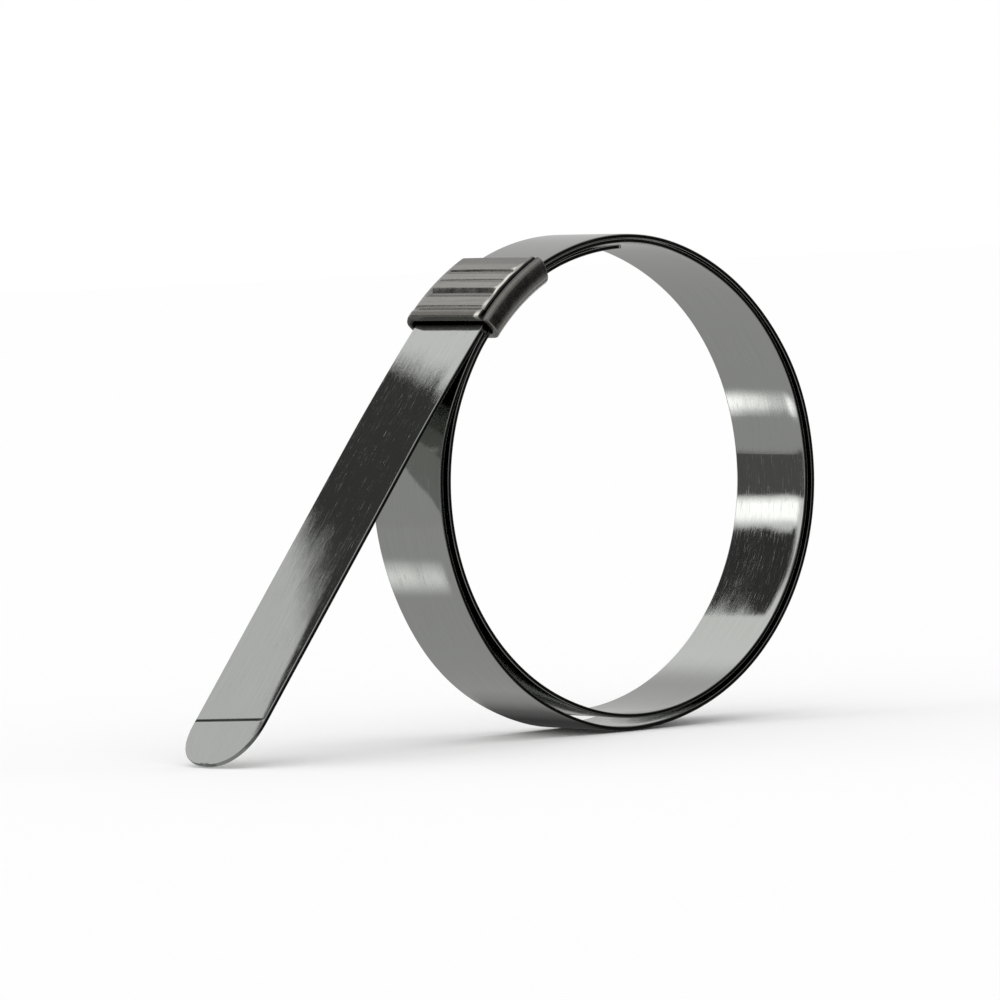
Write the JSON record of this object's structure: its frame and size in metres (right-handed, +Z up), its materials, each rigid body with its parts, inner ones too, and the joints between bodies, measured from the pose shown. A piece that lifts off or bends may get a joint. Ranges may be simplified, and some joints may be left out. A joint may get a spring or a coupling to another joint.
{
  "type": "preformed band hose clamp",
  "caption": "Preformed band clamp: a steel strip wound twice round a hose bore and through a folded buckle, with a long free tail that is pulled to tighten it.",
  "frame": {"origin": "middle of the bore, on its axis, halfway across the band", "axes": "+Y along the bore axis, +Z up as the clamp stands on its ring and the tip of its tail, and the tail reaches down to the -X side"},
  "size_m": [0.1149, 0.0198, 0.0753],
  "materials": {
    "polished_steel": "polished stainless strip with fine lengthwise scratches",
    "buckle_steel": "folded stainless sheet, duller than the strip, with tool marks across it"
  },
  "bodies": {
    "root": {"band": "polished_steel", "buckle": "buckle_steel"}
  },
  "joints": []
}
